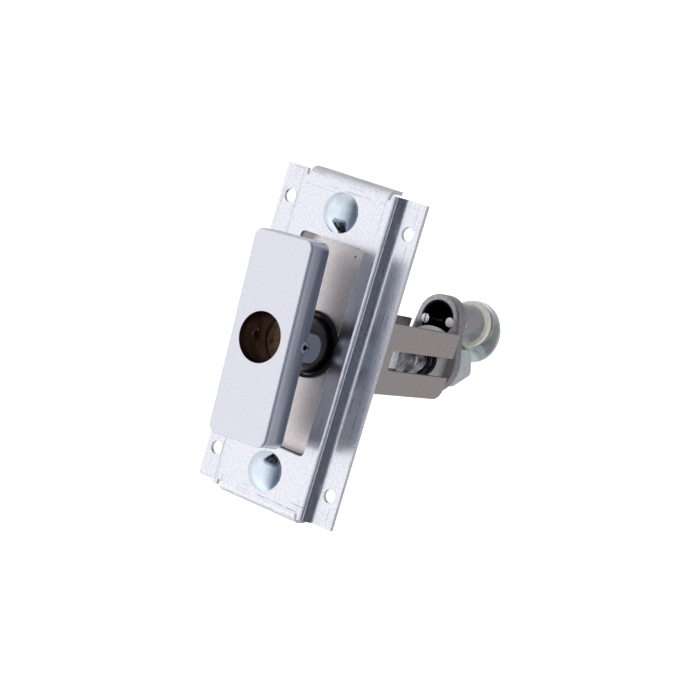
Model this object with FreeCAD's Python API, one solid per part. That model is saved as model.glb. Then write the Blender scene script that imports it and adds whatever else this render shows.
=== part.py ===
import FreeCAD, Part

import math
import os

# A pop-out T-handle lock. Millimetres, X right, Y back into the door, Z up.
# The origin is the centre of the mounting flanges' front plane, on the shaft's axis.

Vec = FreeCAD.Vector
FRONT_TO_BACK = Vec(0, 1, 0)
LEFT_TO_RIGHT = Vec(1, 0, 0)
ORIGIN = Vec(0, 0, 0)
SIDES = (-1, 1)
MATCH = 0.01              # how near a point lies to a plane to count as on it

# Clearances
running_gap = 0.05        # radial, between pieces that turn or slide in each other
seat_gap = 0.02           # radial, between pieces held together
axial_play = 0.1          # between faces that turn past each other
clear_gap = 0.3           # between neighbours that never touch


def rod(y_front, y_back, radius, x=0.0, z=0.0):
    return Part.makeCylinder(radius, y_back - y_front, Vec(x, y_front, z), FRONT_TO_BACK)


def ring(y_front, y_back, outer, inner, x=0.0, z=0.0):
    return rod(y_front, y_back, outer, x, z).cut(rod(y_front, y_back, inner, x, z))


def cross_rod(x_ends, radius, y, z):
    x_low, x_high = sorted(x_ends)
    return Part.makeCylinder(radius, x_high - x_low, Vec(x_low, y, z), LEFT_TO_RIGHT)


def block(x_ends, y_ends, z_ends):
    low = Vec(min(x_ends), min(y_ends), min(z_ends))
    high = Vec(max(x_ends), max(y_ends), max(z_ends))
    size = high - low
    return Part.makeBox(size.x, size.y, size.z, low)


def round_edges(shape, radius, wanted):
    """Fillet the edges whose middle point and direction pass the wanted test."""
    edges = []
    for edge in shape.Edges:
        middle = (edge.FirstParameter + edge.LastParameter) / 2
        if wanted(edge.valueAt(middle), edge.tangentAt(middle)):
            edges.append(edge)
    return shape.makeFillet(radius, edges)


def near(value, target):
    return abs(value - target) < MATCH


def runs_along(direction, axis):
    return abs(direction.dot(axis)) > 1 - MATCH


def rounded_block(x_half, z_half, y_front, y_back, radius):
    """A block whose four edges along Y are rounded."""
    body = block((-x_half, x_half), (y_front, y_back), (-z_half, z_half))
    return round_edges(body, radius, lambda point, along: runs_along(along, FRONT_TO_BACK))


def end_chamfer(shape, depth, y_end):
    """Chamfer a shaft's round edge at one end."""
    edges = [edge for edge in shape.Edges if edge.Closed and near(edge.CenterOfMass.y, y_end)]
    return shape.makeChamfer(depth, edges)


def hexagon(y_front, y_back, across_flats, chamfer):
    """A nut's outside: a hexagonal prism with the corners turned off at both ends."""
    corner = across_flats / math.sqrt(3)
    points = []
    for i in range(7):
        turn = math.radians(60 * i)
        points.append(Vec(corner * math.cos(turn), y_front, corner * math.sin(turn)))
    prism = Part.Face(Part.makePolygon(points)).extrude(Vec(0, y_back - y_front, 0))
    turned = rod(y_front, y_back, corner)
    turned = end_chamfer(end_chamfer(turned, chamfer, y_front), chamfer, y_back)
    return prism.common(turned)


def coil(y_front, y_back, mean_radius, wire_radius, half_turns):
    """A helical spring round the shaft between two planes, its ends resting on them."""
    y_start = y_front + wire_radius
    rise = (y_back - wire_radius - y_start) / half_turns
    arcs = []
    for i in range(half_turns):
        places = []
        for share in (0.0, 0.5, 1.0):
            turn = math.pi * (i + share)
            y = y_start + rise * (i + share)
            places.append(Vec(mean_radius * math.cos(turn), y, mean_radius * math.sin(turn)))
        arcs.append(Part.Arc(*places).toShape())
    start = arcs[0].valueAt(arcs[0].FirstParameter)
    along = arcs[0].tangentAt(arcs[0].FirstParameter)
    section = Part.Wire(Part.makeCircle(wire_radius, start, along))
    tube = Part.Wire(arcs).makePipeShell([section], True, False)
    steps = 24
    points = []
    for arc in arcs:
        span = arc.LastParameter - arc.FirstParameter
        points += [arc.valueAt(arc.FirstParameter + span * k / steps) for k in range(steps)]
    least = min((points[i] - points[j]).Length
                for i in range(len(points)) for j in range(i + steps, len(points)))
    print("the coil's least gap to itself is %.2f mm" % (least - 2 * wire_radius))
    return tube


# Everything that turns with the handle is seen leaning a little from upright.
rest_lean = 3.4


def leaned(shape):
    turned = shape.copy()
    turned.rotate(ORIGIN, FRONT_TO_BACK, -rest_lean)
    return turned


nodes = {}

# The lock plug's bore sets the stem, the stem sets the handle, and the handle sets the opening.
plug_bore_radius = 9.55
plug_bore_depth = 16.5
stem_wall = 1.1
handle_wall = 3.0
handle_length = 78.2
handle_depth = 10.6
ear_side_gap = 0.15
opening_margin = 1.3

stem_radius = plug_bore_radius + stem_wall
ear_inner = stem_radius + ear_side_gap
handle_half_width = ear_inner + handle_wall
handle_half_length = handle_length / 2
opening_half_width = handle_half_width + opening_margin
opening_half_height = handle_half_length + opening_margin

# Mounting bracket: a hat section with its top raised towards the front, two flanges with fixing
# holes, a long opening, and a lip bent back at each end.
sheet = 1.5
channel_rise = 4.7
channel_margin = 7.2
foot_spread = 2.1
flange_reach = 9.0
bend_radius = 0.9
opening_corner = 2.0
bolt_margin = 10.4
end_margin = 12.15
fixing_inset = 4.175
fixing_hole_radius = 2.65
lip_overhang = 1.95
lip_bend = 4.0
lip_length = 8.0
lip_side_margin = 3.3
lip_notch = 1.2

channel_half = opening_half_width + channel_margin
foot_half = channel_half + foot_spread
flange_half = foot_half + flange_reach
fixing_x = foot_half + fixing_inset
bolt_z = opening_half_height + bolt_margin
bracket_half = bolt_z + end_margin
face_front = -channel_rise
face_back = face_front + sheet
side_angle = math.atan2(foot_spread, channel_rise)
wall_shift = sheet * math.tan((math.pi / 2 - side_angle) / 2)
channel_inner = channel_half - wall_shift
foot_inner = foot_half - wall_shift

front_outline = [(flange_half, 0.0), (foot_half, 0.0), (channel_half, face_front)]
back_outline = [(channel_inner, face_back), (foot_inner, sheet), (flange_half, sheet)]
outline = front_outline + [(-x, y) for x, y in reversed(front_outline)]
outline += [(-x, y) for x, y in reversed(back_outline)] + back_outline
corners = [Vec(x, y, -bracket_half) for x, y in outline + outline[:1]]
bracket = Part.Face(Part.makePolygon(corners)).extrude(Vec(0, 0, 2 * bracket_half))


def outer_bend(point, along):
    on_channel = near(abs(point.x), channel_half) and near(point.y, face_front)
    under_foot = near(abs(point.x), foot_inner) and near(point.y, sheet)
    return on_channel or under_foot


def inner_bend(point, along):
    in_channel = near(abs(point.x), channel_inner) and near(point.y, face_back)
    on_foot = near(abs(point.x), foot_half) and near(point.y, 0.0)
    return in_channel or on_foot


bracket = round_edges(bracket, bend_radius + sheet, outer_bend)
bracket = round_edges(bracket, bend_radius, inner_bend)

lip_reach = bracket_half + lip_overhang
lip_start = lip_reach - lip_bend
lip_half = channel_half - lip_side_margin
lip_x = (-lip_half, lip_half)
notch_x = (-lip_half - lip_notch, lip_half + lip_notch)
bend_y = face_front + lip_bend
for side in SIDES:
    bracket = bracket.cut(block(notch_x, (face_front, face_back), (side * lip_start, side * bracket_half)))
    bend = cross_rod(lip_x, lip_bend, bend_y, side * lip_start)
    bend = bend.cut(cross_rod(lip_x, lip_bend - sheet, bend_y, side * lip_start))
    bend = bend.common(block(lip_x, (face_front, bend_y), (side * lip_start, side * lip_reach)))
    lip = block(lip_x, (bend_y, face_front + lip_length), (side * (lip_reach - sheet), side * lip_reach))
    bracket = bracket.fuse(bend).fuse(lip)
bracket = bracket.removeSplitter()
bracket = bracket.cut(rounded_block(opening_half_width, opening_half_height, face_front, face_back,
                                    opening_corner))
for x in (-fixing_x, fixing_x):
    for z in (-bolt_z, bolt_z):
        bracket = bracket.cut(rod(0, sheet, fixing_hole_radius, x, z))

# Yoke bracket: one strip, wider than the opening, with an ear behind each end of the face, a floor
# set back between them, and two slotted arms bent back from the notched sides of the floor.
yoke_sheet = 1.5
yoke_bend = 0.5
clip_lip = 0.55
strip_overlap = 2.9
arm_relief = 1.5
floor_front = 0.3
ear_length = 16.1
arm_end = 79.3
arm_middle = 0.4
arm_front_half = 14.5
arm_rear_half = 13.6
arm_corner = 6.0
slot_start = 36.5
slot_half = 4.0

clip_outer = stem_radius + clip_lip
arm_inner = clip_outer + clear_gap
arm_outer = arm_inner + yoke_sheet
strip_half = opening_half_width + strip_overlap
strip_x = (-strip_half, strip_half)
floor_back = floor_front + yoke_sheet
ear_back = face_back + yoke_sheet
joggle_inner = opening_half_height
joggle_outer = joggle_inner + yoke_sheet
ear_reach = joggle_outer + ear_length
yoke = block(strip_x, (floor_front, floor_back), (-joggle_outer, joggle_outer))
for side in SIDES:
    yoke = yoke.fuse(block(strip_x, (face_back, floor_back), (side * joggle_inner, side * joggle_outer)))
    yoke = yoke.fuse(block(strip_x, (face_back, ear_back), (side * joggle_inner, side * ear_reach)))
yoke = yoke.removeSplitter()


def strip_outer_bend(point, along):
    at_floor = near(abs(point.z), joggle_outer) and near(point.y, floor_back)
    at_ear = near(abs(point.z), joggle_inner) and near(point.y, face_back)
    return at_floor or at_ear


def strip_inner_bend(point, along):
    at_floor = near(abs(point.z), joggle_inner) and near(point.y, floor_front)
    at_ear = near(abs(point.z), joggle_outer) and near(point.y, ear_back)
    return at_floor or at_ear


yoke = round_edges(yoke, yoke_bend + yoke_sheet, strip_outer_bend)
yoke = round_edges(yoke, yoke_bend, strip_inner_bend)
notch_inner = arm_inner - yoke_bend
notch_half = arm_front_half + arm_relief
for side in SIDES:
    yoke = yoke.cut(block((side * notch_inner, side * strip_half), (floor_front, floor_back),
                          (arm_middle - notch_half, arm_middle + notch_half)))

arm_outline = [
    (floor_front, arm_middle - arm_front_half),
    (floor_front, arm_middle + arm_front_half),
    (arm_end, arm_middle + arm_rear_half),
    (arm_end, arm_middle - arm_rear_half),
]
corners = [Vec(-arm_outer, y, z) for y, z in arm_outline + arm_outline[:1]]
arms = Part.Face(Part.makePolygon(corners)).extrude(Vec(2 * arm_outer, 0, 0))
arms = arms.cut(block((-arm_inner, arm_inner), (floor_back, arm_end), (-bracket_half, bracket_half)))
arms = round_edges(arms, yoke_bend + yoke_sheet, lambda point, along: (
    near(point.y, floor_front) and near(abs(point.x), arm_outer)))
arms = round_edges(arms, yoke_bend, lambda point, along: (
    near(point.y, floor_back) and near(abs(point.x), arm_inner) and abs(along.z) > abs(along.y)))
arms = round_edges(arms, arm_corner, lambda point, along: (
    near(point.y, arm_end) and point.z < arm_middle and runs_along(along, LEFT_TO_RIGHT)))
yoke = yoke.fuse(arms).removeSplitter()
yoke = yoke.cut(block((-arm_outer, arm_outer), (slot_start, arm_end), (-slot_half, slot_half)))

# Carriage bolts through both sheets, each with a washer and a nut behind the ear.
bolt_head_radius = 7.7
bolt_head_height = 3.6
bolt_head_edge = 0.5
bolt_shank_radius = 3.175
bolt_length = 9.7
bolt_washer_radius = 7.9
bolt_washer_thickness = 1.2
bolt_nut_flats = 11.1
bolt_nut_height = 5.6
nut_chamfer = 0.5
neck_gap = 0.12

dome_height = bolt_head_height - bolt_head_edge
dome_radius = (bolt_head_radius ** 2 + dome_height ** 2) / (2 * dome_height)
head_front = face_front - bolt_head_height
bolt_end = ear_back + bolt_length
bolt_washer_back = ear_back + bolt_washer_thickness
bolt_nut_back = bolt_washer_back + bolt_nut_height
hole_half = bolt_shank_radius + neck_gap
bolts = []
washers = []
nuts = []
for z in (-bolt_z, bolt_z):
    square_hole = block((-hole_half, hole_half), (face_front, ear_back), (z - hole_half, z + hole_half))
    bracket = bracket.cut(square_hole)
    yoke = yoke.cut(square_hole)
    head = rod(head_front, face_front, bolt_head_radius, 0, z)
    head = head.common(Part.makeSphere(dome_radius, Vec(0, head_front + dome_radius, z)))
    neck = block((-bolt_shank_radius, bolt_shank_radius), (face_front, ear_back),
                 (z - bolt_shank_radius, z + bolt_shank_radius))
    shank = end_chamfer(rod(ear_back, bolt_end, bolt_shank_radius, 0, z), nut_chamfer, bolt_end)
    bolts.append(head.fuse(neck).fuse(shank).removeSplitter())
    washers.append(ring(ear_back, bolt_washer_back, bolt_washer_radius, bolt_shank_radius + clear_gap, 0, z))
    nut = hexagon(bolt_washer_back, bolt_nut_back, bolt_nut_flats, nut_chamfer)
    nut.translate(Vec(0, 0, z))
    nuts.append(nut.cut(rod(bolt_washer_back, bolt_nut_back, bolt_shank_radius + running_gap, 0, z)))
nodes["carriage_bolts"] = Part.makeCompound(bolts)
nodes["bolt_washers"] = Part.makeCompound(washers)
nodes["bolt_nuts"] = Part.makeCompound(nuts)

# The stem's bushing in the floor, and the black gasket round its front end.
bushing_wall = 0.6
bushing_rise = 1.2
bushing_length = 5.9
gasket_width = 1.3
gasket_thickness = 1.1

bushing_inner = stem_radius + running_gap
bushing_outer = bushing_inner + bushing_wall
bushing_front = floor_front - bushing_rise
bushing_back = bushing_front + bushing_length
gasket_inner = bushing_outer + clear_gap
gasket_front = floor_front - gasket_thickness
yoke = yoke.cut(rod(floor_front, floor_back, bushing_outer + seat_gap))
nodes["mounting_bracket"] = bracket
nodes["yoke_bracket"] = yoke
nodes["stem_bushing"] = ring(bushing_front, bushing_back, bushing_outer, bushing_inner)
nodes["stem_gasket"] = ring(gasket_front, floor_front, gasket_inner + gasket_width, gasket_inner)

# Handle shell: a tray open to the back, with the plug's bore and an ear on each side. Pushed in,
# it stops where the ears' tips come up to the gasket.
pop_travel = 10.4
stop_gap = 0.4
ear_radius = 5.4
ear_rise = 8.9
handle_corner = 3.8
handle_inner_corner = 1.5
handle_front_edge = 1.0
pin_margin = 0.4
pin_radius = 2.4
pin_hole_radius = 1.1
pin_slit = 0.6
pin_inset = 0.2

ear_tip = gasket_front - stop_gap - pop_travel
ear_centre = ear_tip - ear_radius
handle_back = ear_tip - ear_rise
handle_front = handle_back - handle_depth
cavity_front = handle_front + handle_wall
shell = rounded_block(handle_half_width, handle_half_length, handle_front, handle_back, handle_corner)
shell = round_edges(shell, handle_front_edge, lambda point, along: near(point.y, handle_front))
shell = shell.cut(rounded_block(ear_inner, handle_half_length - handle_wall, cavity_front, handle_back,
                                handle_inner_corner))
for side in SIDES:
    ear_x = (side * ear_inner, side * handle_half_width)
    shell = shell.fuse(block(ear_x, (cavity_front, ear_centre), (-ear_radius, ear_radius)))
    shell = shell.fuse(cross_rod(ear_x, ear_radius, ear_centre, 0))
shell = shell.removeSplitter()
shell = shell.cut(rod(handle_front, cavity_front, plug_bore_radius))
pin_y = handle_back - pin_margin
pin_way = cross_rod((-handle_half_width, handle_half_width), pin_radius + seat_gap, pin_y, 0)
nodes["handle_shell"] = leaned(shell.cut(pin_way))

pins = []
for side in SIDES:
    pin_x = (side * (plug_bore_radius + axial_play), side * (handle_half_width - pin_inset))
    pin = cross_rod(pin_x, pin_radius, pin_y, 0)
    pin = pin.cut(cross_rod(pin_x, pin_hole_radius, pin_y, 0))
    pin = pin.cut(block(pin_x, (pin_y, pin_y + pin_radius), (-pin_slit / 2, pin_slit / 2)))
    pins.append(leaned(pin))
nodes["cross_pins"] = Part.makeCompound(pins)

# Handle stem: the plug's bore and the driver's seat in front, then the pop-out spring's chamber,
# and a square hole at the rear that slides on the spindle. A clip behind the bushing keeps it in.
driver_thickness = 4.0
driver_step = 0.55
chamber_radius = 6.5
chamber_wall = 1.2
chamber_hole_radius = 2.5
chamber_depth = 18.3
rear_wall = 11.0
spindle_square = 9.525
clip_thickness = 1.2
groove_depth = 0.6
clip_opening = 60.0

driver_front = handle_front + plug_bore_depth
driver_back = driver_front + driver_thickness
driver_radius = plug_bore_radius - driver_step
chamber_wall_front = driver_back + axial_play
chamber_front = chamber_wall_front + chamber_wall
rear_wall_front = chamber_front + chamber_depth
stem_end = rear_wall_front + rear_wall
square_half = spindle_square / 2 + running_gap
clip_front = bushing_back + axial_play
clip_back = clip_front + clip_thickness
groove_radius = stem_radius - groove_depth
stem = rod(cavity_front, stem_end, stem_radius)
stem = stem.cut(rod(cavity_front, driver_front, plug_bore_radius))
stem = stem.cut(rod(driver_front, chamber_wall_front, driver_radius + running_gap))
stem = stem.cut(rod(chamber_wall_front, chamber_front, chamber_hole_radius))
stem = stem.cut(rod(chamber_front, rear_wall_front, chamber_radius))
stem = stem.cut(block((-square_half, square_half), (rear_wall_front, stem_end), (-square_half, square_half)))
stem = stem.cut(ring(clip_front - seat_gap, clip_back + seat_gap, stem_radius, groove_radius))
nodes["handle_stem"] = leaned(stem.cut(pin_way))

clip = ring(clip_front, clip_back, clip_outer, groove_radius + seat_gap)
wedge_angle = math.radians(clip_opening / 2)
wedge_x = 2 * clip_outer * math.sin(wedge_angle)
wedge_z = -2 * clip_outer * math.cos(wedge_angle)
wedge = Part.Face(Part.makePolygon([
    Vec(0, clip_front, 0),
    Vec(wedge_x, clip_front, wedge_z),
    Vec(-wedge_x, clip_front, wedge_z),
    Vec(0, clip_front, 0),
])).extrude(Vec(0, clip_thickness, 0))
nodes["stem_clip"] = leaned(clip.cut(wedge))

# Lock driver: a brass disc with a slot for the plug's tail.
driver_slot_width = 2.2
driver_slot_length = 13.0
driver_slot_depth = 2.0

slot_x = (-driver_slot_length / 2, driver_slot_length / 2)
slot_z = (-driver_slot_width / 2, driver_slot_width / 2)
driver = rod(driver_front, driver_back, driver_radius)
driver = driver.cut(block(slot_x, (driver_front, driver_front + driver_slot_depth), slot_z))
nodes["lock_driver"] = leaned(driver)

# Drive spindle: a square shaft with a threaded rear end. From the arms' rear ends forward it
# carries the disc washer, the arm spring, and two nuts with a washer between them.
spindle_lead = 2.0
square_chamfer = 0.4
thread_radius = 4.7
thread_end = 2.0
tip_chamfer = 0.8
spindle_nut_flats = 14.29
front_nut_height = 6.7
nut_washer_radius = 8.6
nut_washer_thickness = 1.1
seat_nut_height = 6.8
arm_spring_length = 12.0
arm_spring_wire_radius = 1.0
arm_spring_radius = 6.3
arm_spring_half_turns = 5
yoke_to_washer = 0.7
disc_washer_radius = 13.9
disc_washer_thickness = 1.2

disc_washer_front = arm_end + yoke_to_washer
arm_front = disc_washer_front + disc_washer_thickness
seat_nut_back = disc_washer_front - arm_spring_length
seat_nut_front = seat_nut_back - seat_nut_height
front_nut_back = seat_nut_front - nut_washer_thickness
square_end = front_nut_back - front_nut_height
spindle_front = rear_wall_front - spindle_lead


def threaded_nut(y_front, y_back, across_flats, turn):
    nut = hexagon(y_front, y_back, across_flats, nut_chamfer)
    nut.rotate(ORIGIN, FRONT_TO_BACK, turn)
    return leaned(nut.cut(rod(y_front, y_back, thread_radius + running_gap)))


nodes["front_nut"] = threaded_nut(square_end, front_nut_back, spindle_nut_flats, 0)
nodes["nut_washer"] = leaned(ring(front_nut_back, seat_nut_front, nut_washer_radius,
                                  thread_radius + clear_gap))
nodes["seat_nut"] = threaded_nut(seat_nut_front, seat_nut_back, spindle_nut_flats, 0)
nodes["arm_spring"] = leaned(coil(seat_nut_back, disc_washer_front, arm_spring_radius,
                                  arm_spring_wire_radius, arm_spring_half_turns))
nodes["disc_washer"] = leaned(ring(disc_washer_front, arm_front, disc_washer_radius,
                                   thread_radius + clear_gap))

# Pop-out spring between the stem's chamber wall and the spindle's front end.
pop_wire_radius = 0.45
pop_spring_radius = 3.9
pop_spring_half_turns = 9

nodes["pop_out_spring"] = leaned(coil(chamber_front, spindle_front, pop_spring_radius,
                                      pop_wire_radius, pop_spring_half_turns))

# Swing arm: a plate with a hub on the thread and an eye above it, set so high that the barrel in
# the eye stands clear of the lock nut's upper corner. The nut's turn is that from a corner to the side.
arm_plate_thickness = 4.4
arm_front_edge = 0.8
arm_lower_radius = 13.4
hub_radius = 8.0
hub_length = 4.8
eye_radius = 10.1
eye_wall = 2.35
eye_length = 6.4
lock_nut_flats = 17.0
lock_nut_turn = 16.0

arm_back = arm_front + arm_plate_thickness
hub_end = arm_back + hub_length
eye_end = arm_front + eye_length
eye_bore_radius = eye_radius - eye_wall
barrel_radius = eye_bore_radius - seat_gap
nut_corner = lock_nut_flats / math.sqrt(3)
corner_slant = math.radians(30 - lock_nut_turn)
corner_x = nut_corner * math.sin(corner_slant)
corner_z = nut_corner * math.cos(corner_slant)
eye_offset = corner_z + math.sqrt((barrel_radius + clear_gap) ** 2 - corner_x ** 2)
tilt = math.asin((arm_lower_radius - eye_radius) / eye_offset)
low_x = arm_lower_radius * math.cos(tilt)
low_z = arm_lower_radius * math.sin(tilt)
high_x = eye_radius * math.cos(tilt)
high_z = eye_offset + eye_radius * math.sin(tilt)
web_outline = [(low_x, low_z), (high_x, high_z), (-high_x, high_z), (-low_x, low_z), (low_x, low_z)]
web = Part.Face(Part.makePolygon([Vec(x, arm_front, z) for x, z in web_outline]))
arm = web.extrude(Vec(0, arm_plate_thickness, 0))
arm = arm.fuse(rod(arm_front, arm_back, arm_lower_radius))
arm = arm.fuse(rod(arm_front, eye_end, eye_radius, 0, eye_offset))
arm = arm.fuse(rod(arm_front, hub_end, hub_radius)).removeSplitter()
arm = round_edges(arm, arm_front_edge, lambda point, along: near(point.y, arm_front))
arm = arm.cut(rod(arm_front, eye_end, eye_bore_radius, 0, eye_offset))
arm = arm.cut(rod(arm_front, hub_end, thread_radius + running_gap))

# Latch barrel in the eye, keyed by two pins that lie partly in the eye's wall.
barrel_inset = 0.3
barrel_reach = 17.6
barrel_wall = 0.85
barrel_floor = 7.2
key_radius = 1.95
key_depth = 1.7
key_inset = 0.2
key_grip = 10.5
key_slot_width = 0.7
key_slot_depth = 1.0
slotted_pin_turn = 191.0
dowel_pin_turn = -2.0
latch_pin_radius = 3.0

barrel_front = arm_front + barrel_inset
barrel_end = eye_end + barrel_reach
barrel_bore_end = barrel_end - barrel_floor
key_front = arm_front + key_inset
key_end = barrel_front + key_grip
key_circle = eye_bore_radius - key_depth
barrel = rod(barrel_front, barrel_end, barrel_radius, 0, eye_offset)
barrel = barrel.cut(rod(barrel_front, barrel_bore_end, barrel_radius - barrel_wall, 0, eye_offset))
barrel = barrel.cut(rod(barrel_bore_end, barrel_end, latch_pin_radius + seat_gap, 0, eye_offset))
for name, turn in (("slotted_pin", slotted_pin_turn), ("dowel_pin", dowel_pin_turn)):
    x = key_circle * math.cos(math.radians(turn))
    z = eye_offset + key_circle * math.sin(math.radians(turn))
    key = rod(key_front, key_end, key_radius, x, z)
    if name == "slotted_pin":
        slit_x = (x - key_slot_width / 2, x + key_slot_width / 2)
        key = key.cut(block(slit_x, (key_front, key_front + key_slot_depth), (z - key_radius, z + key_radius)))
    nodes[name] = leaned(key)
    key_way = rod(arm_front, key_end, key_radius + seat_gap, x, z)
    barrel = barrel.cut(key_way)
    arm = arm.cut(key_way)
nodes["swing_arm"] = leaned(arm)
nodes["latch_barrel"] = leaned(barrel)

# Lock washer and lock nut behind the hub, and the spindle's length to suit them.
lock_washer_radius = 7.6
lock_washer_thickness = 1.6
lock_nut_height = 9.3

lock_washer_back = hub_end + lock_washer_thickness
lock_nut_back = lock_washer_back + lock_nut_height
spindle_end = lock_nut_back + thread_end
nodes["lock_washer"] = leaned(ring(hub_end, lock_washer_back, lock_washer_radius, thread_radius + clear_gap))
nodes["lock_nut"] = threaded_nut(lock_washer_back, lock_nut_back, lock_nut_flats, lock_nut_turn)
spindle_half = spindle_square / 2
spindle_sides = (-spindle_half, spindle_half)
spindle = block(spindle_sides, (spindle_front, square_end), spindle_sides)
spindle = spindle.makeChamfer(square_chamfer, [
    edge for edge in spindle.Edges if runs_along(edge.tangentAt(edge.FirstParameter), FRONT_TO_BACK)])
spindle = spindle.fuse(end_chamfer(rod(square_end, spindle_end, thread_radius), tip_chamfer, spindle_end))
nodes["drive_spindle"] = leaned(spindle)

# Behind the barrel: a nylon washer, the domed latch disc off centre on its pin, and the pin's rivet.
nylon_radius = 9.45
nylon_thickness = 2.4
disc_radius = 12.8
disc_sheet = 1.4
disc_crown = 1.8
disc_drop = 3.0
disc_hub_thickness = 2.4
rivet_radius = 5.0
rivet_height = 1.4

nylon_back = barrel_end + nylon_thickness
disc_front = nylon_back + axial_play
disc_hub_back = disc_front + disc_hub_thickness
rivet_front = disc_hub_back + axial_play
disc_z = eye_offset - disc_drop
crown_radius = (disc_radius ** 2 + disc_crown ** 2) / (2 * disc_crown)
disc = rod(disc_front, disc_front + disc_crown + disc_sheet, disc_radius, 0, disc_z)
disc = disc.common(Part.makeSphere(crown_radius, Vec(0, disc_front + crown_radius, disc_z)))
disc = disc.cut(Part.makeSphere(crown_radius, Vec(0, disc_front + disc_sheet + crown_radius, disc_z)))
disc = disc.fuse(rod(disc_front, disc_hub_back, rivet_radius, 0, eye_offset))
disc = disc.cut(rod(disc_front, disc_hub_back, latch_pin_radius + running_gap, 0, eye_offset))
pin = rod(barrel_bore_end, rivet_front, latch_pin_radius, 0, eye_offset)
pin = pin.fuse(rod(rivet_front, rivet_front + rivet_height, rivet_radius, 0, eye_offset))
nodes["nylon_washer"] = leaned(ring(barrel_end, nylon_back, nylon_radius, latch_pin_radius + clear_gap,
                                    0, eye_offset))
nodes["latch_disc"] = leaned(disc)
nodes["latch_pin"] = leaned(pin.removeSplitter())

os.makedirs("parts", exist_ok=True)
for name, shape in nodes.items():
    shape.exportStep("parts/%s.step" % name)
    box = shape.BoundBox
    print("%-17s %d solids, y %.2f to %.2f, %.1f x %.1f, volume %.1f, valid %s" % (
        name, len(shape.Solids), box.YMin, box.YMax, box.XLength, box.ZLength, shape.Volume, shape.isValid()))
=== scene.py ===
import math

import bmesh
import bpy
from mathutils import Matrix, Vector


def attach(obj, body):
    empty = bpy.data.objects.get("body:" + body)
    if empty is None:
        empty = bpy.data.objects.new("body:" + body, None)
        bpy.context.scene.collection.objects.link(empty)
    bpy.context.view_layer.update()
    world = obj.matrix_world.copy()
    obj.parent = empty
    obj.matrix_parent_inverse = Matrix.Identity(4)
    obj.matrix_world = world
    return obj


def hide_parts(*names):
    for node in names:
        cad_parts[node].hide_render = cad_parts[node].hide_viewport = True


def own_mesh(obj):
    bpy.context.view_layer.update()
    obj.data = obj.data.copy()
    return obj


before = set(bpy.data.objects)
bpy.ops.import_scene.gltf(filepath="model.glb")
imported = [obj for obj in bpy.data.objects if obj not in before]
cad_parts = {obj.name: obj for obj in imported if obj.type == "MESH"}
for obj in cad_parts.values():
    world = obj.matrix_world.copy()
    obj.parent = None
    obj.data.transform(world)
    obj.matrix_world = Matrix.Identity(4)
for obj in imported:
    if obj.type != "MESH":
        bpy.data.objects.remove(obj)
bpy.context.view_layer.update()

# The photographer's camera: a long lens, a little above the lock and to its right, and held
# tilted, so that the upright plate leans to the right in the picture.
view_azimuth = math.radians(35.845)
view_elevation = math.radians(6.425)
view_roll = math.radians(16.449)
view_distance = 0.851407
lens_mm = 119.70
sensor_mm = 36.0
shift_right = 0.04403
shift_up = 0.00623
nearest_seen = 0.01

towards_camera = Vector((
    math.sin(view_azimuth) * math.cos(view_elevation),
    -math.cos(view_azimuth) * math.cos(view_elevation),
    math.sin(view_elevation),
))
level_right = Vector((math.cos(view_azimuth), math.sin(view_azimuth), 0.0))
level_up = towards_camera.cross(level_right)
right = math.cos(view_roll) * level_right + math.sin(view_roll) * level_up
up = math.cos(view_roll) * level_up - math.sin(view_roll) * level_right
camera_data = bpy.data.cameras.new("photo_camera")
camera_data.lens = lens_mm
camera_data.sensor_width = sensor_mm
camera_data.shift_x = shift_right
camera_data.shift_y = shift_up
camera_data.clip_start = nearest_seen
camera = bpy.data.objects.new("photo_camera", camera_data)
camera.matrix_world = (Matrix.Translation(towards_camera * view_distance)
                       @ Matrix((right, up, towards_camera)).transposed().to_4x4())
bpy.context.scene.collection.objects.link(camera)
bpy.context.scene.camera = camera

# The studio: a sweep of white paper and two soft lights, in a room whose walls are bright to the
# camera's left and dark blue-grey to its right, with one pale strip. The metal mirrors the room
# alone. The walls' places are degrees from straight in front of the lock, round to its right.
room_walls = (
    (-180, (0.50, 0.50, 0.51)),
    (-90, (0.95, 0.95, 0.97)),
    (-60, (1.20, 1.20, 1.23)),
    (-22, (1.20, 1.20, 1.23)),
    (5, (0.85, 0.86, 0.91)),
    (35, (0.20, 0.23, 0.30)),
    (52, (0.12, 0.14, 0.18)),
    (58, (0.75, 0.78, 0.86)),
    (66, (0.75, 0.78, 0.86)),
    (72, (0.10, 0.11, 0.14)),
    (98, (0.10, 0.11, 0.14)),
    (144, (0.60, 0.58, 0.59)),
    (180, (0.50, 0.50, 0.51)),
)
# Where a look goes, from straight down at -1 to straight up at 1, and the share of light there.
room_heights = ((-1.0, 1.0), (-0.1, 0.87), (0.3, 0.84), (0.6, 0.70), (1.0, 0.62))
floor_depth = 0.25
sweep_radius = 1.2
sweep_half_width = 4.0
sweep_front = -3.0
sweep_back = 2.0
sweep_height = 4.0
sweep_bend_steps = 24
sweep_weld = 0.0001
paper_white = (0.95, 0.95, 0.95, 1)
paper_roughness = 0.9
paper_glow = 0.55
softbox_watts = 4


def ramp_of(tree, stops):
    """A colour ramp through (place from 0 to 1, colour) stops."""
    ramp = tree.nodes.new("ShaderNodeValToRGB")
    for end, (place, colour) in zip(ramp.color_ramp.elements, (stops[0], stops[-1])):
        end.position = place
        end.color = (*colour, 1)
    for place, colour in stops[1:-1]:
        ramp.color_ramp.elements.new(place).color = (*colour, 1)
    return ramp


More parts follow.
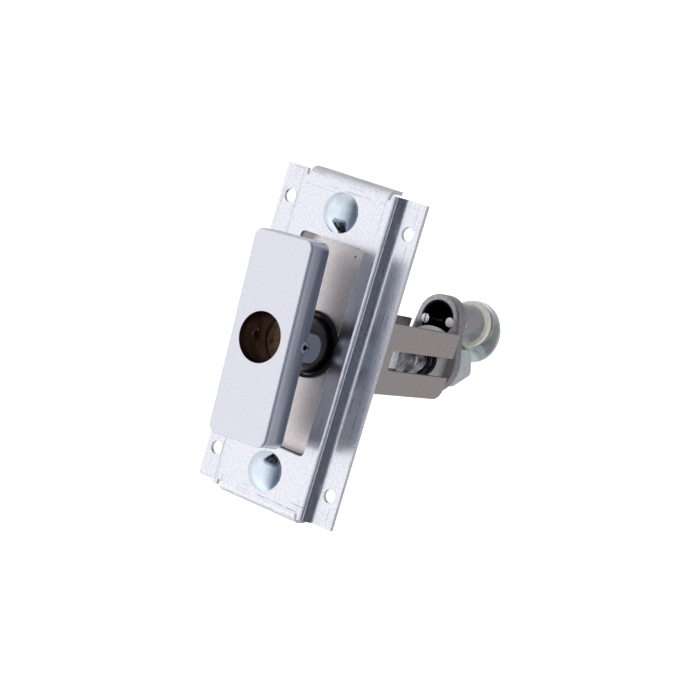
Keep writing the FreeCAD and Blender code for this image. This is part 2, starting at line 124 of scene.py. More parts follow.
def step_up(tree, value, low, high, least=0.0, most=1.0):
    """Least below low and most above high; turned round where low is the greater."""
    ramp = tree.nodes.new("ShaderNodeMapRange")
    ramp.inputs["From Min"].default_value = low
    ramp.inputs["From Max"].default_value = high
    ramp.inputs["To Min"].default_value = least
    ramp.inputs["To Max"].default_value = most
    tree.links.new(value, ramp.inputs["Value"])
    return ramp.outputs["Result"]


bpy.context.scene.view_settings.view_transform = "Standard"
bpy.context.scene.view_settings.look = "None"
room = bpy.data.worlds.new("studio_room")
bpy.context.scene.world = room
room.use_nodes = True
tree = room.node_tree
tree.nodes.clear()
direction = tree.nodes.new("ShaderNodeTexCoord")
quarter_turn = tree.nodes.new("ShaderNodeMapping")
quarter_turn.inputs["Rotation"].default_value = (0, 0, math.pi / 2)
tree.links.new(direction.outputs["Generated"], quarter_turn.inputs["Vector"])
round_the_room = tree.nodes.new("ShaderNodeTexGradient")
round_the_room.gradient_type = "RADIAL"
tree.links.new(quarter_turn.outputs["Vector"], round_the_room.inputs["Vector"])
walls = ramp_of(tree, [(degrees / 360 + 0.5, colour) for degrees, colour in room_walls])
tree.links.new(round_the_room.outputs["Fac"], walls.inputs["Fac"])
direction_parts = tree.nodes.new("ShaderNodeSeparateXYZ")
tree.links.new(direction.outputs["Generated"], direction_parts.inputs[0])
height_light = ramp_of(tree, [((height + 1) / 2, (light,) * 3) for height, light in room_heights])
tree.links.new(step_up(tree, direction_parts.outputs["Z"], -1.0, 1.0), height_light.inputs["Fac"])
room_light = tree.nodes.new("ShaderNodeBackground")
tree.links.new(walls.outputs["Color"], room_light.inputs["Color"])
tree.links.new(height_light.outputs["Color"], room_light.inputs["Strength"])
seen_white = tree.nodes.new("ShaderNodeBackground")
seen_white.inputs["Color"].default_value = (1, 1, 1, 1)
rays = tree.nodes.new("ShaderNodeLightPath")
choose = tree.nodes.new("ShaderNodeMixShader")
tree.links.new(rays.outputs["Is Camera Ray"], choose.inputs[0])
tree.links.new(room_light.outputs[0], choose.inputs[1])
tree.links.new(seen_white.outputs[0], choose.inputs[2])
world_output = tree.nodes.new("ShaderNodeOutputWorld")
tree.links.new(choose.outputs[0], world_output.inputs[0])

bm = bmesh.new()
floor_start = bm.verts.new((-sweep_half_width, sweep_front, -floor_depth))
floor_end = bm.verts.new((-sweep_half_width, sweep_back, -floor_depth))
bm.edges.new((floor_start, floor_end))
bmesh.ops.spin(bm, geom=[floor_end], cent=(0, sweep_back, sweep_radius - floor_depth), axis=(1, 0, 0),
               angle=math.pi / 2, steps=sweep_bend_steps)
bend_top = max(bm.verts, key=lambda vert: vert.co.z)
wall_top = bm.verts.new((bend_top.co.x, bend_top.co.y, sweep_height))
bm.edges.new((bend_top, wall_top))
bmesh.ops.remove_doubles(bm, verts=bm.verts, dist=sweep_weld)
made = bmesh.ops.extrude_edge_only(bm, edges=bm.edges[:])
bmesh.ops.translate(bm, vec=(2 * sweep_half_width, 0, 0),
                    verts=[part for part in made["geom"] if isinstance(part, bmesh.types.BMVert)])
bmesh.ops.recalc_face_normals(bm, faces=bm.faces)
sweep_mesh = bpy.data.meshes.new("white_sweep")
bm.to_mesh(sweep_mesh)
bm.free()
sweep_mesh.shade_smooth()
sweep = bpy.data.objects.new("white_sweep", sweep_mesh)
bpy.context.scene.collection.objects.link(sweep)
sweep.visible_glossy = False
paper = bpy.data.materials.new("white_paper")
paper.use_nodes = True
paper_shader = paper.node_tree.nodes["Principled BSDF"]
paper_shader.inputs["Base Color"].default_value = paper_white
paper_shader.inputs["Roughness"].default_value = paper_roughness
paper_shader.inputs["Emission Color"].default_value = (1, 1, 1, 1)
paper_shader.inputs["Emission Strength"].default_value = paper_glow
sweep_mesh.materials.append(paper)


def softbox(name, place, size):
    """A square soft light that is aimed at the lock and isn't mirrored in it."""
    light = bpy.data.lights.new(name, "AREA")
    light.shape = "SQUARE"
    light.size = size
    light.energy = softbox_watts
    box = bpy.data.objects.new(name, light)
    box.location = place
    box.rotation_euler = Vector(place).to_track_quat("Z", "Y").to_euler()
    box.visible_glossy = False
    bpy.context.scene.collection.objects.link(box)


softbox("key_softbox", (-0.9, -1.1, 0.9), 1.3)
softbox("camera_softbox", (0.75, -0.70, 0.22), 0.3)

# Mounting bracket: galvanised steel strip, pressed into a hat section with punched holes. Its zinc
# is pale and glossy, and the press has scraped it in broken grey lines: along the strip from the
# edges of its face outwards, and across it at the lips.
MM = 0.001
side_zone = (17.5, 19.0)
lip_zone = (57.0, 58.0)
scrape_mm = 5.0
scrape_share = (0.42, 0.55)
die_line_mm = 0.5
die_line_share = (0.56, 0.70)
die_line_stretch = 0.015
die_line_grey = (0.46, 0.47, 0.53)


def drawn_noise(tree, size_mm, stretch=(1, 1, 1), detail=2.0):
    """Noise fixed to the piece, drawn out along the axes whose stretch is below 1."""
    place = tree.nodes.new("ShaderNodeTexCoord")
    drawn = tree.nodes.new("ShaderNodeMapping")
    drawn.inputs["Scale"].default_value = stretch
    tree.links.new(place.outputs["Object"], drawn.inputs["Vector"])
    noise = tree.nodes.new("ShaderNodeTexNoise")
    noise.inputs["Scale"].default_value = 1 / (size_mm * MM)
    noise.inputs["Detail"].default_value = detail
    tree.links.new(drawn.outputs["Vector"], noise.inputs["Vector"])
    return noise.outputs["Fac"]


def shader_of(material):
    """The shader that a finish sets its colour and gloss on."""
    return material.node_tree.nodes["Principled BSDF"]


def new_finish(name, dark, pale, roughness, grain_mm, stretch=(1, 1, 1), bump_mm=0.01, fine_mm=0.25,
               edge_mm=0.1, metallic=1.0, grain_detail=5.0, grain_share=(0.3, 0.7), edge_samples=6):
    """A finish whose tone and gloss wander with a soft grain, with a fine tooth and broken edges."""
    material = bpy.data.materials.new(name)
    material.use_nodes = True
    tree = material.node_tree
    shader = shader_of(material)
    shader.inputs["Metallic"].default_value = metallic
    grain = drawn_noise(tree, grain_mm, stretch, grain_detail)
    tone = ramp_of(tree, list(zip(grain_share, (dark, pale))))
    tree.links.new(grain, tone.inputs["Fac"])
    tree.links.new(tone.outputs["Color"], shader.inputs["Base Color"])
    tree.links.new(step_up(tree, grain, *grain_share, *roughness), shader.inputs["Roughness"])
    bump = tree.nodes.new("ShaderNodeBump")
    bump.inputs["Distance"].default_value = bump_mm * MM
    tree.links.new(drawn_noise(tree, fine_mm, stretch), bump.inputs["Height"])
    if edge_mm:
        edge = tree.nodes.new("ShaderNodeBevel")
        edge.samples = edge_samples
        edge.inputs["Radius"].default_value = edge_mm * MM
        tree.links.new(edge.outputs["Normal"], bump.inputs["Normal"])
    tree.links.new(bump.outputs["Normal"], shader.inputs["Normal"])
    return material


def tint(material, mask, colour):
    """Where the mask is 1, a colour or a ramp's output replaces the finish's own tone."""
    tree = material.node_tree
    base = shader_of(material).inputs["Base Color"]
    blend = tree.nodes.new("ShaderNodeMixRGB")
    if isinstance(colour, tuple):
        blend.inputs["Color2"].default_value = (*colour, 1)
    else:
        tree.links.new(colour, blend.inputs["Color2"])
    tree.links.new(mask, blend.inputs["Fac"])
    tree.links.new(base.links[0].from_socket, blend.inputs["Color1"])
    tree.links.new(blend.outputs["Color"], base)


def worked_out(tree, operation, *values):
    """A number made from sockets and plain numbers."""
    maths = tree.nodes.new("ShaderNodeMath")
    maths.operation = operation
    for socket, value in zip(maths.inputs, values):
        if isinstance(value, (int, float)):
            socket.default_value = value
        else:
            tree.links.new(value, socket)
    return maths.outputs[0]


def own_place(tree, move_mm=(0, 0, 0), turn_degrees=0.0):
    """A point's x, y and z on its piece, moved and then turned about the shaft's axis."""
    place = tree.nodes.new("ShaderNodeTexCoord")
    moved = tree.nodes.new("ShaderNodeMapping")
    moved.inputs["Location"].default_value = [step * MM for step in move_mm]
    moved.inputs["Rotation"].default_value = (0, math.radians(turn_degrees), 0)
    tree.links.new(place.outputs["Object"], moved.inputs["Vector"])
    parts = tree.nodes.new("ShaderNodeSeparateXYZ")
    tree.links.new(moved.outputs["Vector"], parts.inputs[0])
    return parts.outputs


def beyond(tree, value, zone):
    """0 below the start of a zone in mm, rising to 1 at its end, on both sides of the middle."""
    return step_up(tree, worked_out(tree, "ABSOLUTE", value), zone[0] * MM, zone[1] * MM)


def dress(material, *nodes):
    """Give nodes of the CAD model their finish."""
    for name in nodes:
        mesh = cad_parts[name].data
        mesh.materials.clear()
        mesh.materials.append(material)


galvanised = new_finish("galvanised_sheet", dark=(0.73, 0.74, 0.80), pale=(0.90, 0.91, 0.95),
                        roughness=(0.17, 0.24), grain_mm=0.8, stretch=(1, 1, 0.8), bump_mm=0.004,
                        fine_mm=0.35, edge_mm=0.2)
tree = galvanised.node_tree
place = own_place(tree)
broken = step_up(tree, drawn_noise(tree, scrape_mm), *scrape_share)
for zone, stretch in ((beyond(tree, place["X"], side_zone), (1, 1, die_line_stretch)),
                      (beyond(tree, place["Z"], lip_zone), (die_line_stretch, 1, 1))):
    die_lines = step_up(tree, drawn_noise(tree, die_line_mm, stretch), *die_line_share)
    scraped = worked_out(tree, "MULTIPLY", broken, die_lines)
    tint(galvanised, worked_out(tree, "MULTIPLY", zone, scraped), die_line_grey)
dress(galvanised, "mounting_bracket")

# Yoke bracket: a strip of stainless sheet with an ear behind each end of the plate, a floor behind
# the opening with one small dark nick, and two slotted arms. Its rolled finish is dull and a little
# warm. Painted light makes the faces turned to the front paler, broken by a speckle, and painted
# shade makes the faces that look up or down dark.
updown_shade_from = (0.85, 0.95)
painted_updown_shade = (0.10, 0.095, 0.10)
front_from = (-0.6, -0.8)
front_speckle_mm = 1.0
front_speckle_lift = 0.4
painted_front_light = (0.90, 0.835, 0.82)
nick_x = 8.7
nick_z = 36.7
nick_radius = 0.5
nick_fade = 0.15
nick_dark = (0.12, 0.10, 0.09)


def own_facing(tree):
    """Which way a face points, as x, y and z of the piece itself."""
    place = tree.nodes.new("ShaderNodeTexCoord")
    parts = tree.nodes.new("ShaderNodeSeparateXYZ")
    tree.links.new(place.outputs["Normal"], parts.inputs[0])
    return parts.outputs


def within(tree, place, radius, fade=0.1):
    """1 within a radius in mm of the line along Y through a place, with a soft edge."""
    squares = [worked_out(tree, "POWER", place[axis], 2.0) for axis in "XZ"]
    reach = worked_out(tree, "SQRT", worked_out(tree, "ADD", *squares))
    return step_up(tree, reach, radius * MM, (radius - fade) * MM)


stainless = new_finish("dull_stainless", dark=(0.53, 0.485, 0.48), pale=(0.63, 0.585, 0.58),
                       roughness=(0.32, 0.44), grain_mm=0.9, stretch=(1, 0.5, 1), bump_mm=0.006)
tree = stainless.node_tree
facing = own_facing(tree)
# Painted shade: faces that look up or down are tinted dark.
updown_shade_mask = step_up(tree, worked_out(tree, "ABSOLUTE", facing["Z"]), *updown_shade_from)
tint(stainless, updown_shade_mask, painted_updown_shade)
# Painted light: faces turned to the front are tinted paler, broken by a speckle.
speckle = worked_out(tree, "ADD", drawn_noise(tree, front_speckle_mm), front_speckle_lift)
front_light_mask = worked_out(tree, "MULTIPLY", step_up(tree, facing["Y"], *front_from), speckle)
tint(stainless, front_light_mask, painted_front_light)
nick = own_place(tree, (-nick_x, 0, -nick_z))
tint(stainless, within(tree, nick, nick_radius, nick_fade), nick_dark)
dress(stainless, "yoke_bracket")

# Carriage bolts with their washers and nuts: bright blue-white zinc on smooth formed steel.
# The heads are pressed domes with a square neck under them, the shanks have rolled threads.
bolt_z = 50.8
bolt_head_front = -8.3
bolt_head_radius = 7.7
bolt_dome_depth = 3.1
bolt_dome_rings = 14
bolt_face_y = -4.7
# The rounded rim of a head: how far in from its radius, and how far in front of the plate's face.
bolt_rim_steps = ((0.0, 0.25), (0.1, 0.08), (0.3, 0.0))
bolt_neck_half = 3.17
bolt_neck_back = -1.7
bolt_end = 8.0
bolt_crest = 3.17
bolt_root = 2.65
bolt_pitch = 1.27
bolt_tip = 0.5
turn_steps = 64
thread_steps = 32
# Where a thread's flanks meet its crest and root, as shares of its pitch.
crest_start = 0.40
crest_end = 0.52
flank_end = 0.92
weld_mm = 0.002
sharp_degrees = 35


def finished_piece(name, bm, material, body):
    """Finish a closed shell: faces outwards, soft shading up to an angle, riding on its body."""
    bmesh.ops.remove_doubles(bm, verts=bm.verts, dist=weld_mm * MM)
    bmesh.ops.recalc_face_normals(bm, faces=bm.faces)
    mesh = bpy.data.meshes.new(name)
    bm.to_mesh(mesh)
    bm.free()
    mesh.shade_smooth()
    mesh.set_sharp_from_angle(angle=math.radians(sharp_degrees))
    mesh.materials.append(material)
    piece = bpy.data.objects.new(name, mesh)
    bpy.context.scene.collection.objects.link(piece)
    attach(piece, body)
    return piece


def turned(bm, profile, centre):
    """Turn an open profile of (radius, y) points round the line along Y through an (x, z) centre."""
    x, z = centre
    verts = [bm.verts.new(((x + radius) * MM, y * MM, z * MM)) for radius, y in profile]
    edges = [bm.edges.new(pair) for pair in zip(verts, verts[1:])]
    bmesh.ops.spin(bm, geom=verts + edges, cent=(x * MM, 0, z * MM), axis=(0, 1, 0),
                   angle=2 * math.pi, steps=turn_steps, use_merge=True)


def threaded(bm, y_front, y_back, crest, root, pitch, tip, centre=(0, 0)):
    """A screw thread along Y, cut square at both ends and capped, with a chamfer at its rear tip."""
    x, z = centre
    one_turn = ((root, 0.0), (crest, crest_start), (crest, crest_end), (root, flank_end), (root, 1.0))
    thread = bmesh.new()
    verts = [thread.verts.new(((x + radius) * MM, (y_front + (share - 1) * pitch) * MM, z * MM))
             for radius, share in one_turn]
    edges = [thread.edges.new(pair) for pair in zip(verts, verts[1:])]
    turns = math.ceil((y_back - y_front) / pitch) + 2
    bmesh.ops.spin(thread, geom=verts + edges, cent=(x * MM, 0, z * MM), axis=(0, 1, 0),
                   dvec=(0, pitch / thread_steps * MM, 0), angle=2 * math.pi * turns,
                   steps=turns * thread_steps)
    bmesh.ops.remove_doubles(thread, verts=thread.verts, dist=weld_mm * MM)
    for vert in thread.verts:
        limit = (crest - max(0.0, vert.co.y / MM - (y_back - tip))) * MM
        reach = math.hypot(vert.co.x - x * MM, vert.co.z - z * MM)
        if reach > limit:
            vert.co.x = x * MM + (vert.co.x - x * MM) * limit / reach
            vert.co.z = z * MM + (vert.co.z - z * MM) * limit / reach
    for y, outwards in ((y_front, -1), (y_back, 1)):
        cut = bmesh.ops.bisect_plane(thread, geom=thread.verts[:] + thread.edges[:] + thread.faces[:],
                                     plane_co=(0, y * MM, 0), plane_no=(0, outwards, 0),
                                     clear_outer=True)
        cut_rim = [part for part in cut["geom_cut"] if isinstance(part, bmesh.types.BMEdge)]
        bmesh.ops.contextual_create(thread, geom=cut_rim)
    bmesh.ops.recalc_face_normals(thread, faces=thread.faces)
    shell = bpy.data.meshes.new("thread_shell")
    thread.to_mesh(shell)
    thread.free()
    bm.from_mesh(shell)
    bpy.data.meshes.remove(shell)


def square_bar(bm, half, y_front, y_back, centre=(0, 0), chamfer=0.0):
    """A square bar along Y, its long edges chamfered."""
    x, z = centre
    verts = bmesh.ops.create_cube(bm, size=1.0)["verts"]
    bmesh.ops.scale(bm, verts=verts, vec=(2 * half * MM, (y_back - y_front) * MM, 2 * half * MM))
    bmesh.ops.translate(bm, verts=verts, vec=(x * MM, (y_front + y_back) / 2 * MM, z * MM))
    if chamfer:
        edges = dict.fromkeys(edge for vert in verts for edge in vert.link_edges)
        long_edges = [edge for edge in edges
                      if abs(edge.verts[0].co.y - edge.verts[1].co.y) > half * MM]
        bmesh.ops.bevel(bm, geom=long_edges, offset=chamfer * MM, affect="EDGES", segments=1,
                        profile=0.5, material=-1)


bright_zinc = new_finish("bright_zinc", dark=(0.58, 0.65, 0.69), pale=(0.76, 0.82, 0.86),
                         roughness=(0.07, 0.16), grain_mm=3.0, bump_mm=0.003)
dress(bright_zinc, "bolt_washers", "bolt_nuts")
pressed_zinc = new_finish("pressed_zinc", dark=(0.66, 0.75, 0.82), pale=(0.79, 0.89, 0.97),
                          roughness=(0.06, 0.14), grain_mm=3.0, bump_mm=0.03, fine_mm=2.2)
dome_radius = (bolt_head_radius ** 2 + bolt_dome_depth ** 2) / (2 * bolt_dome_depth)
dome_half_angle = math.asin(bolt_head_radius / dome_radius)
dome = []
for ring in range(bolt_dome_rings + 1):
    slope = dome_half_angle * ring / bolt_dome_rings
    dome.append((dome_radius * math.sin(slope), bolt_head_front + dome_radius * (1 - math.cos(slope))))
rim = [(bolt_head_radius - inset, bolt_face_y - proud) for inset, proud in bolt_rim_steps]
bm = bmesh.new()
for z in (-bolt_z, bolt_z):
    turned(bm, dome + rim + [(0.0, bolt_face_y)], (0, z))
    square_bar(bm, bolt_neck_half, bolt_face_y, bolt_neck_back, (0, z))
    threaded(bm, bolt_neck_back, bolt_end, bolt_crest, bolt_root, bolt_pitch, bolt_tip, (0, z))
domed_bolts = finished_piece("domed_bolts", bm, pressed_zinc, "frame")
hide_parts("carriage_bolts")

# Stem gasket: a moulded ring of dull black rubber. It lies on the floor of the recess, round the
# stem of the handle.
rubber_shine = 0.12
rubber = new_finish("black_rubber", dark=(0.006, 0.006, 0.006), pale=(0.014, 0.014, 0.014),
                    roughness=(0.5, 0.65), grain_mm=0.8, edge_mm=0, metallic=0.0)
shader_of(rubber).inputs["Specular IOR Level"].default_value = rubber_shine
dress(rubber, "stem_gasket")

# Drive spindle: a square cold-drawn bar, zinc plated, with a coarse thread rolled on its rear end.
# It slides in the stem's square hole, and the swing arm is clamped on its thread. All that turns
# with it stands a few degrees off the length of the plate.
spindle_half = 4.76
spindle_front = 7.0
square_end = 53.4
spindle_end = 103.3
spindle_corner = 0.4
spindle_crest = 4.69
spindle_root = 4.0
spindle_pitch = 1.5875
spindle_tip = 0.8
lean_degrees = 3.4
lean_of_set = Matrix.Rotation(math.radians(-lean_degrees), 4, "Y")

bm = bmesh.new()
square_bar(bm, spindle_half, spindle_front, square_end, chamfer=spindle_corner)
threaded(bm, square_end, spindle_end, spindle_crest, spindle_root, spindle_pitch, spindle_tip)
bmesh.ops.transform(bm, matrix=lean_of_set, verts=bm.verts)
drawn_bar = new_finish("drawn_bar_zinc", dark=(0.84, 0.85, 0.91), pale=(0.89, 0.90, 0.96),
                       roughness=(0.2, 0.3), grain_mm=1.5, bump_mm=0.002, edge_mm=0, metallic=0.3)
threaded_spindle = finished_piece("threaded_spindle", bm, drawn_bar, "spindle")
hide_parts("drive_spindle")

# Nuts, washer and arm spring on the spindle, seen through the slots of the yoke's arms: formed
# steel, zinc plated and dark with oil in places, and black oxide on the spring's wire.
oily_zinc = new_finish("oily_zinc", dark=(0.10, 0.105, 0.11), pale=(0.66, 0.68, 0.70),
                       roughness=(0.15, 0.3), grain_mm=3.0, bump_mm=0.003, metallic=0.85)
dress(oily_zinc, "front_nut", "nut_washer", "seat_nut")
black_oxide = new_finish("black_oxide", dark=(0.02, 0.02, 0.022), pale=(0.05, 0.05, 0.055),
                         roughness=(0.15, 0.25), grain_mm=0.8, bump_mm=0.003, edge_mm=0)
dress(black_oxide, "arm_spring")

# Disc washer: a large flat washer of plain steel that runs on the rear ends of the yoke's arms.
# Grease has made it dull, and towards its right edge a painted shadow of the near arm makes it
# nearly black.
arm_shadow_from_x = 7.5
arm_shadow_full_x = 10.5
painted_arm_shadow = (0.13, 0.125, 0.13)
greased_steel_and_shadow = new_finish("greased_steel_and_shadow", dark=(0.55, 0.54, 0.53), pale=(0.64, 0.63, 0.62),
                           roughness=(0.35, 0.45), grain_mm=2.5, bump_mm=0.002, edge_mm=0,
                           metallic=0.3)
tree = greased_steel_and_shadow.node_tree
# Painted shadow of the near arm: the washer's right part is tinted nearly black.
tint(greased_steel_and_shadow, step_up(tree, own_place(tree)["X"], arm_shadow_from_x * MM, arm_shadow_full_x * MM),
     painted_arm_shadow)
dress(greased_steel_and_shadow, "disc_washer")

# Lock washer and lock nut behind the swing arm's hub: one turn of square spring steel, split and
# sprung apart, and a bright zinc nut that presses it against the hub.
washer_inner = 5.05
washer_outer = 7.55
washer_front = 90.42
washer_thickness = 1.36
washer_spring = 0.2
washer_split_degrees = 6
washer_steps = 72

plain_steel = new_finish("plain_steel", dark=(0.62, 0.62, 0.65), pale=(0.76, 0.76, 0.79),
                         roughness=(0.22, 0.32), grain_mm=1.2, bump_mm=0.004, edge_mm=0)
bm = bmesh.new()
section = [(washer_inner, 0.0), (washer_outer, 0.0), (washer_outer, washer_thickness),
           (washer_inner, washer_thickness)]
verts = [bm.verts.new((radius * MM, (washer_front + y) * MM, 0)) for radius, y in section]
bmesh.ops.spin(bm, geom=[bm.faces.new(verts)], cent=(0, 0, 0), axis=(0, 1, 0),
               dvec=(0, washer_spring / washer_steps * MM, 0),
               angle=math.radians(360 - washer_split_degrees), steps=washer_steps)
bmesh.ops.holes_fill(bm, edges=[edge for edge in bm.edges if edge.is_boundary], sides=len(section))
bmesh.ops.transform(bm, matrix=lean_of_set, verts=bm.verts)
split_washer = finished_piece("split_washer", bm, plain_steel, "spindle")
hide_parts("lock_washer")
dress(bright_zinc, "lock_nut")

# Handle shell: a zinc die casting, satin plated, so its face is pale with a fine speckle. Its sides
# carry painted shade, pale by the face and darkening towards the rim, broken by lengthwise buffing
# streaks, and the tray and the back are left grey, as cast. The plug's bore is painted dark brown
# as painted shade.
handle_side_x = 13.75
handle_side_fade = 0.5
handle_front_y = -31.0
handle_rim_y = -20.6
tray_floor_y = -28.2
tray_half_x = 10.85
tray_fade = 0.1
plug_bore_dark_radius = 9.7
streak_mm = 2.2
streak_stretch = 0.03
streak_strength = 0.6
noise_middle = 0.5
# Painted shade tones of a side, from the handle's face at 0 to its rim at 1.
painted_side_shade_tones = (
    (0.0, (0.82, 0.86, 0.96)),
    (0.35, (0.70, 0.73, 0.83)),
    (0.62, (0.38, 0.41, 0.48)),
    (0.85, (0.27, 0.30, 0.37)),
    (1.0, (0.46, 0.49, 0.56)),
)
as_cast_grey = (0.47, 0.49, 0.54)
handle_bore_shade = (0.09, 0.062, 0.062)

satin_zinc = new_finish("satin_zinc", dark=(0.68, 0.69, 0.75), pale=(0.81, 0.82, 0.88),
                        roughness=(0.28, 0.36), grain_mm=0.6, bump_mm=0.008, edge_mm=0.2)
tree = satin_zinc.node_tree
place = own_place(tree, turn_degrees=lean_degrees)
across = worked_out(tree, "ABSOLUTE", place["X"])
streaks = drawn_noise(tree, streak_mm, (1, 1, streak_stretch))
wander = worked_out(tree, "MULTIPLY", worked_out(tree, "SUBTRACT", streaks, noise_middle),
                    streak_strength)
# Painted shade: a side's tone darkens from the handle's face towards its rim, broken by the streaks.
to_the_rim = step_up(tree, place["Y"], handle_front_y * MM, handle_rim_y * MM)
side_shade_ramp = ramp_of(tree, painted_side_shade_tones)
tree.links.new(worked_out(tree, "ADD", to_the_rim, wander), side_shade_ramp.inputs["Fac"])
on_side = step_up(tree, across, (handle_side_x - handle_side_fade) * MM, handle_side_x * MM)
tint(satin_zinc, on_side, side_shade_ramp.outputs["Color"])
between_walls = step_up(tree, across, (tray_half_x + tray_fade) * MM, tray_half_x * MM)
on_floor = step_up(tree, place["Y"], (tray_floor_y - tray_fade) * MM, tray_floor_y * MM)
in_tray = worked_out(tree, "MULTIPLY", between_walls, on_floor)
behind_rim = step_up(tree, place["Y"], (handle_rim_y - tray_fade) * MM, handle_rim_y * MM)
tint(satin_zinc, worked_out(tree, "MAXIMUM", in_tray, behind_rim), as_cast_grey)
# Painted shade: the plug's bore is tinted dark brown.
tint(satin_zinc, within(tree, place, plug_bore_dark_radius), handle_bore_shade)
dress(satin_zinc, "handle_shell")

# Roll pins: spring steel rolled into split tubes and driven through the handle's ears into its
# stem. A disc painted dark closes each tube at its inner end, as painted shade inside the tube.
pin_y = -20.9
pin_inner_end = 9.65
pin_outer_end = 13.6
pin_outer_radius = 2.38
pin_inner_radius = 1.12
pin_lead = 0.25
pin_slit_degrees = 20
pin_steps = 40
pin_shade_disc = 0.4
pin_shade_disc_sides = 32

bm = bmesh.new()
for side in (-1, 1):
    x_in = side * pin_inner_end
    x_out = side * pin_outer_end
    section = [(pin_inner_radius, x_in), (pin_outer_radius - pin_lead, x_in),
               (pin_outer_radius, x_in + side * pin_lead), (pin_outer_radius, x_out - side * pin_lead),
               (pin_outer_radius - pin_lead, x_out), (pin_inner_radius, x_out)]
    verts = [bm.verts.new((x * MM, (pin_y + radius) * MM, 0)) for radius, x in section]
    face = bm.faces.new(verts)
    bmesh.ops.rotate(bm, verts=verts, cent=(0, pin_y * MM, 0),
                     matrix=Matrix.Rotation(math.radians(pin_slit_degrees / 2), 3, "X"))
    bmesh.ops.spin(bm, geom=[face], cent=(0, pin_y * MM, 0), axis=(1, 0, 0),
                   angle=math.radians(360 - pin_slit_degrees), steps=pin_steps)
    shade_disc_place = Matrix.Translation(((x_in + side * pin_shade_disc / 2) * MM, pin_y * MM, 0))
    shade_disc_parts = bmesh.ops.create_cone(
        bm, cap_ends=True, segments=pin_shade_disc_sides, radius1=(pin_outer_radius - pin_lead) * MM,
        radius2=pin_inner_radius * MM, depth=pin_shade_disc * MM,
        matrix=shade_disc_place @ Matrix.Rotation(math.radians(side * 90), 4, "Y"))
    for face in dict.fromkeys(face for vert in shade_disc_parts["verts"] for face in vert.link_faces):
        face.material_index = 1
bmesh.ops.holes_fill(bm, edges=[edge for edge in bm.edges if edge.is_boundary], sides=len(section))
bmesh.ops.transform(bm, matrix=lean_of_set, verts=bm.verts)
roll_pins = finished_piece("roll_pins", bm, plain_steel, "handle")
# Painted shade: the discs that close the pins' inner ends are dark.
pin_shade_finish = new_finish("painted_pin_hole_shade", dark=(0.02, 0.018, 0.017), pale=(0.05, 0.045, 0.042),
                         roughness=(0.4, 0.6), grain_mm=0.8, edge_mm=0)
roll_pins.data.materials.append(pin_shade_finish)
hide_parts("cross_pins")

# Handle stem, the bushing in which it turns and slides, and its clip: turned steel with a dark
# gunmetal finish, half glossy. The faces to the front and to the right are painted nearly black as
# painted shade, the plug's bore is painted brown inside as painted shade, and the clip has black
# oxide.
right_from = (0.5, 0.9)
painted_shade_black = (0.035, 0.033, 0.04)
stem_bore_shade = (0.18, 0.125, 0.13)
gunmetal = new_finish("dark_gunmetal", dark=(0.17, 0.155, 0.155), pale=(0.25, 0.23, 0.225),
                      roughness=(0.18, 0.28), grain_mm=1.5, bump_mm=0.004, edge_mm=0)
tree = gunmetal.node_tree
facing = own_facing(tree)
# Painted shade: faces turned to the front and to the right are tinted nearly black.
for axis, turned_that_way in (("Y", front_from), ("X", right_from)):
    tint(gunmetal, step_up(tree, facing[axis], *turned_that_way), painted_shade_black)
# Painted shade: the plug's bore is tinted dark brown.
tint(gunmetal, within(tree, own_place(tree), plug_bore_dark_radius), stem_bore_shade)
dress(gunmetal, "handle_stem", "stem_bushing")
dress(black_oxide, "stem_clip")

# Pop-out spring: hard-drawn steel wire, coiled. It stands between the stem's inner wall and the
# spindle's front end, and is pressed shorter when the handle is pushed in.
spring_front = -9.3
spring_back = 7.0
spring_radius = 3.9
wire_radius = 0.45
wire_sides = 12
spring_half_turns = 9
steps_each_half_turn = 18

bm = bmesh.new()
wire_end = Matrix.Translation((spring_radius * MM, (spring_front + wire_radius) * MM, 0))
section = bmesh.ops.create_circle(bm, cap_ends=True, radius=wire_radius * MM, segments=wire_sides,
                                  matrix=wire_end)
coil_steps = spring_half_turns * steps_each_half_turn
rise = (spring_back - spring_front - 2 * wire_radius) / coil_steps
bmesh.ops.spin(bm, geom=[section["verts"][0].link_faces[0]], cent=(0, 0, 0), axis=(0, 1, 0),
               dvec=(0, rise * MM, 0), angle=math.pi * spring_half_turns, steps=coil_steps)
bmesh.ops.holes_fill(bm, edges=[edge for edge in bm.edges if edge.is_boundary], sides=wire_sides)
bmesh.ops.transform(bm, matrix=lean_of_set, verts=bm.verts)
coiled_spring = finished_piece("coiled_spring", bm, plain_steel, "handle")
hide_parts("pop_out_spring")
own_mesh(coiled_spring)

# Lock driver: a slotted disc of brass at the bottom of the plug's bore, where it turns on the
# shaft's axis. Handling has dulled it.
worn_brass = new_finish("worn_brass", dark=(0.38, 0.27, 0.16), pale=(0.80, 0.60, 0.36),
                        roughness=(0.25, 0.45), grain_mm=2.5)
dress(worn_brass, "lock_driver")

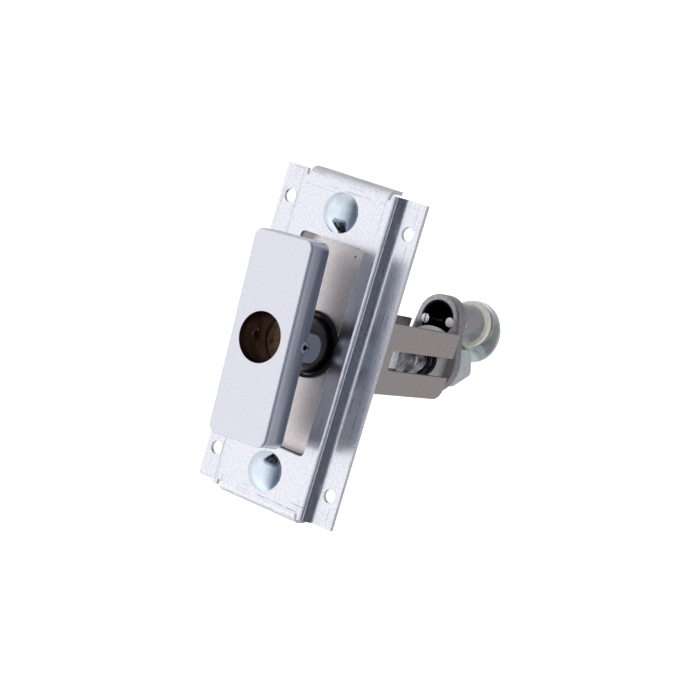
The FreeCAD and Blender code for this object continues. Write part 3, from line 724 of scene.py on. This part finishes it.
# Swing arm: a grey satin casting, with its hub on the spindle's thread and an eye above the hub.
# The two small pins in the mouth of the eye are plain steel.
cast_grey = new_finish("cast_arm_grey", dark=(0.31, 0.30, 0.31), pale=(0.51, 0.50, 0.51),
                       roughness=(0.3, 0.45), grain_mm=1.5, bump_mm=0.03, fine_mm=0.4)
dress(cast_grey, "swing_arm")
dress(plain_steel, "slotted_pin", "dowel_pin")

# Latch barrel: a short tube turned from plain steel and held in the arm's eye. Its bore, and all of
# it that lies inside the eye, is painted black as painted shade.
barrel_x = -1.02
barrel_z = 17.164
barrel_shade_radius = 7.1
eye_back_y = 87.5
eye_fade = 0.1
painted_barrel_shade = (0.008, 0.008, 0.009)
barrel_steel = new_finish("barrel_steel", dark=(0.42, 0.42, 0.46), pale=(0.54, 0.54, 0.58),
                          roughness=(0.25, 0.36), grain_mm=1.2, stretch=(1, 0.15, 1), bump_mm=0.006)
tree = barrel_steel.node_tree
place = own_place(tree, (-barrel_x, 0, -barrel_z))
# Painted shade: the bore and all of the barrel inside the eye are tinted black.
in_bore = within(tree, place, barrel_shade_radius)
in_eye = step_up(tree, place["Y"], eye_back_y * MM, (eye_back_y - eye_fade) * MM)
tint(barrel_steel, worked_out(tree, "MAXIMUM", in_bore, in_eye), painted_barrel_shade)
dress(barrel_steel, "latch_barrel")

# Nylon washer, latch disc and latch pin: a milky plastic ring behind the barrel, and behind it a
# domed disc of polished plate, slightly greenish, which turns on a plain steel pin.
nylon_milkiness = 0.2
nylon_light_depth = 2.0
milky_nylon = new_finish("milky_nylon", dark=(0.56, 0.55, 0.49), pale=(0.68, 0.67, 0.60),
                         roughness=(0.35, 0.5), grain_mm=2.0, bump_mm=0.005, metallic=0.0)
nylon_shader = shader_of(milky_nylon)
nylon_shader.inputs["Subsurface Weight"].default_value = nylon_milkiness
nylon_shader.inputs["Subsurface Radius"].default_value = (nylon_light_depth * MM,) * 3
dress(milky_nylon, "nylon_washer")
disc_plate = new_finish("greenish_plate", dark=(0.58, 0.63, 0.62), pale=(0.70, 0.75, 0.74),
                        roughness=(0.16, 0.24), grain_mm=2.5, bump_mm=0.004, metallic=0.8)
dress(disc_plate, "latch_disc")
dress(plain_steel, "latch_pin")
